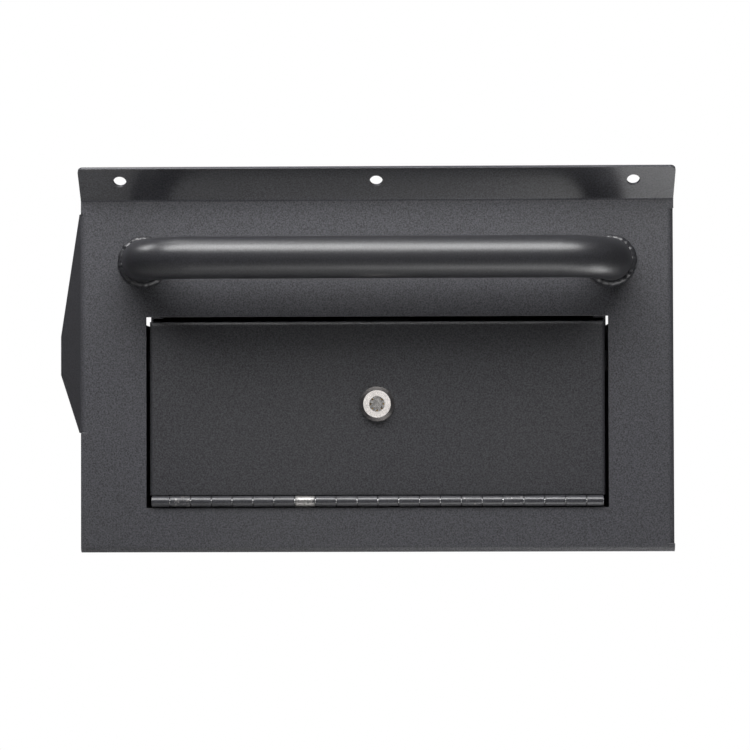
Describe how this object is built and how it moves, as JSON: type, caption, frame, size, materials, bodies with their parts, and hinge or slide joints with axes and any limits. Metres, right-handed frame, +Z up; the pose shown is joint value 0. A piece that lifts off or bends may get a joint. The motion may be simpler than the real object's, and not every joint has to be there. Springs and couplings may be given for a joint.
{
  "type": "wall mounted lock box with drop-down door",
  "caption": "Wall-hung sheet steel lock box: flanged front panel, welded grab bar, and a keyed door that drops open on a full-width hinge.",
  "frame": {"origin": "on the back face of the front panel, midway between the grab bar's legs and at their height", "axes": "+X to the right seen from the front, +Y into the wall, +Z up"},
  "size_m": [0.3832, 0.1924, 0.2343],
  "materials": {
    "panel_coat": "fine-texture black powder coat",
    "liner_coat": "fine-texture black powder coat",
    "bar_coat": "semi-gloss black powder coat",
    "door_coat": "fine-texture black powder coat",
    "hinge_coat": "black powder coat, worn on some knuckles",
    "pin_steel": "plain drawn wire",
    "lock_chrome": "polished",
    "lock_brass": "turned",
    "zinc_steel": "bright zinc plate",
    "spring_steel": "drawn spring wire",
    "stop_rubber": "moulded"
  },
  "bodies": {
    "box": {"face_plate": "panel_coat", "face_band": "panel_coat", "screw_flange": "panel_coat", "bottom_return": "panel_coat", "right_return": "panel_coat", "left_ear": "panel_coat", "liner_wrap": "liner_coat", "liner_left_side": "liner_coat", "liner_right_side": "liner_coat", "keeper_bracket": "liner_coat", "door_stop_left": "liner_coat", "door_stop_right": "liner_coat", "door_bumpers": "stop_rubber", "grab_bar": "bar_coat", "bar_weld_beads": "bar_coat", "frame_hinge_leaf": "hinge_coat", "hinge_pin": "pin_steel"},
    "door": {"door_panel": "door_coat", "door_hinge_leaf": "hinge_coat", "lock_body": "lock_chrome", "lock_cap_ring": "zinc_steel", "lock_washer": "zinc_steel", "lock_nut": "zinc_steel"},
    "key_plug": {"lock_plug": "lock_chrome", "tumbler_springs": "spring_steel", "stop_washer": "zinc_steel", "lock_cam": "zinc_steel", "cam_washer": "zinc_steel", "cam_nut": "zinc_steel"},
    "tumblers": {"tumbler_pins": "lock_brass"}
  },
  "joints": [
    {"name": "door_hinge", "type": "hinge", "parent": "box", "child": "door", "pos_m": [0, -0.00168, -0.1466], "axis": [1, 0, 0], "range_deg": [0, 165]},
    {"name": "lock_turn", "type": "hinge", "parent": "door", "child": "key_plug", "pos_m": [0, 0, -0.0874], "axis": [0, 1, 0], "range_deg": [0, 90]},
    {"name": "tumbler_press", "type": "slide", "parent": "key_plug", "child": "tumblers", "axis": [0, 1, 0], "range_m": [0, 0.002], "stiffness_N_per_m": 300, "springref_m": -0.001, "deforming": ["tumbler_springs"]}
  ]
}
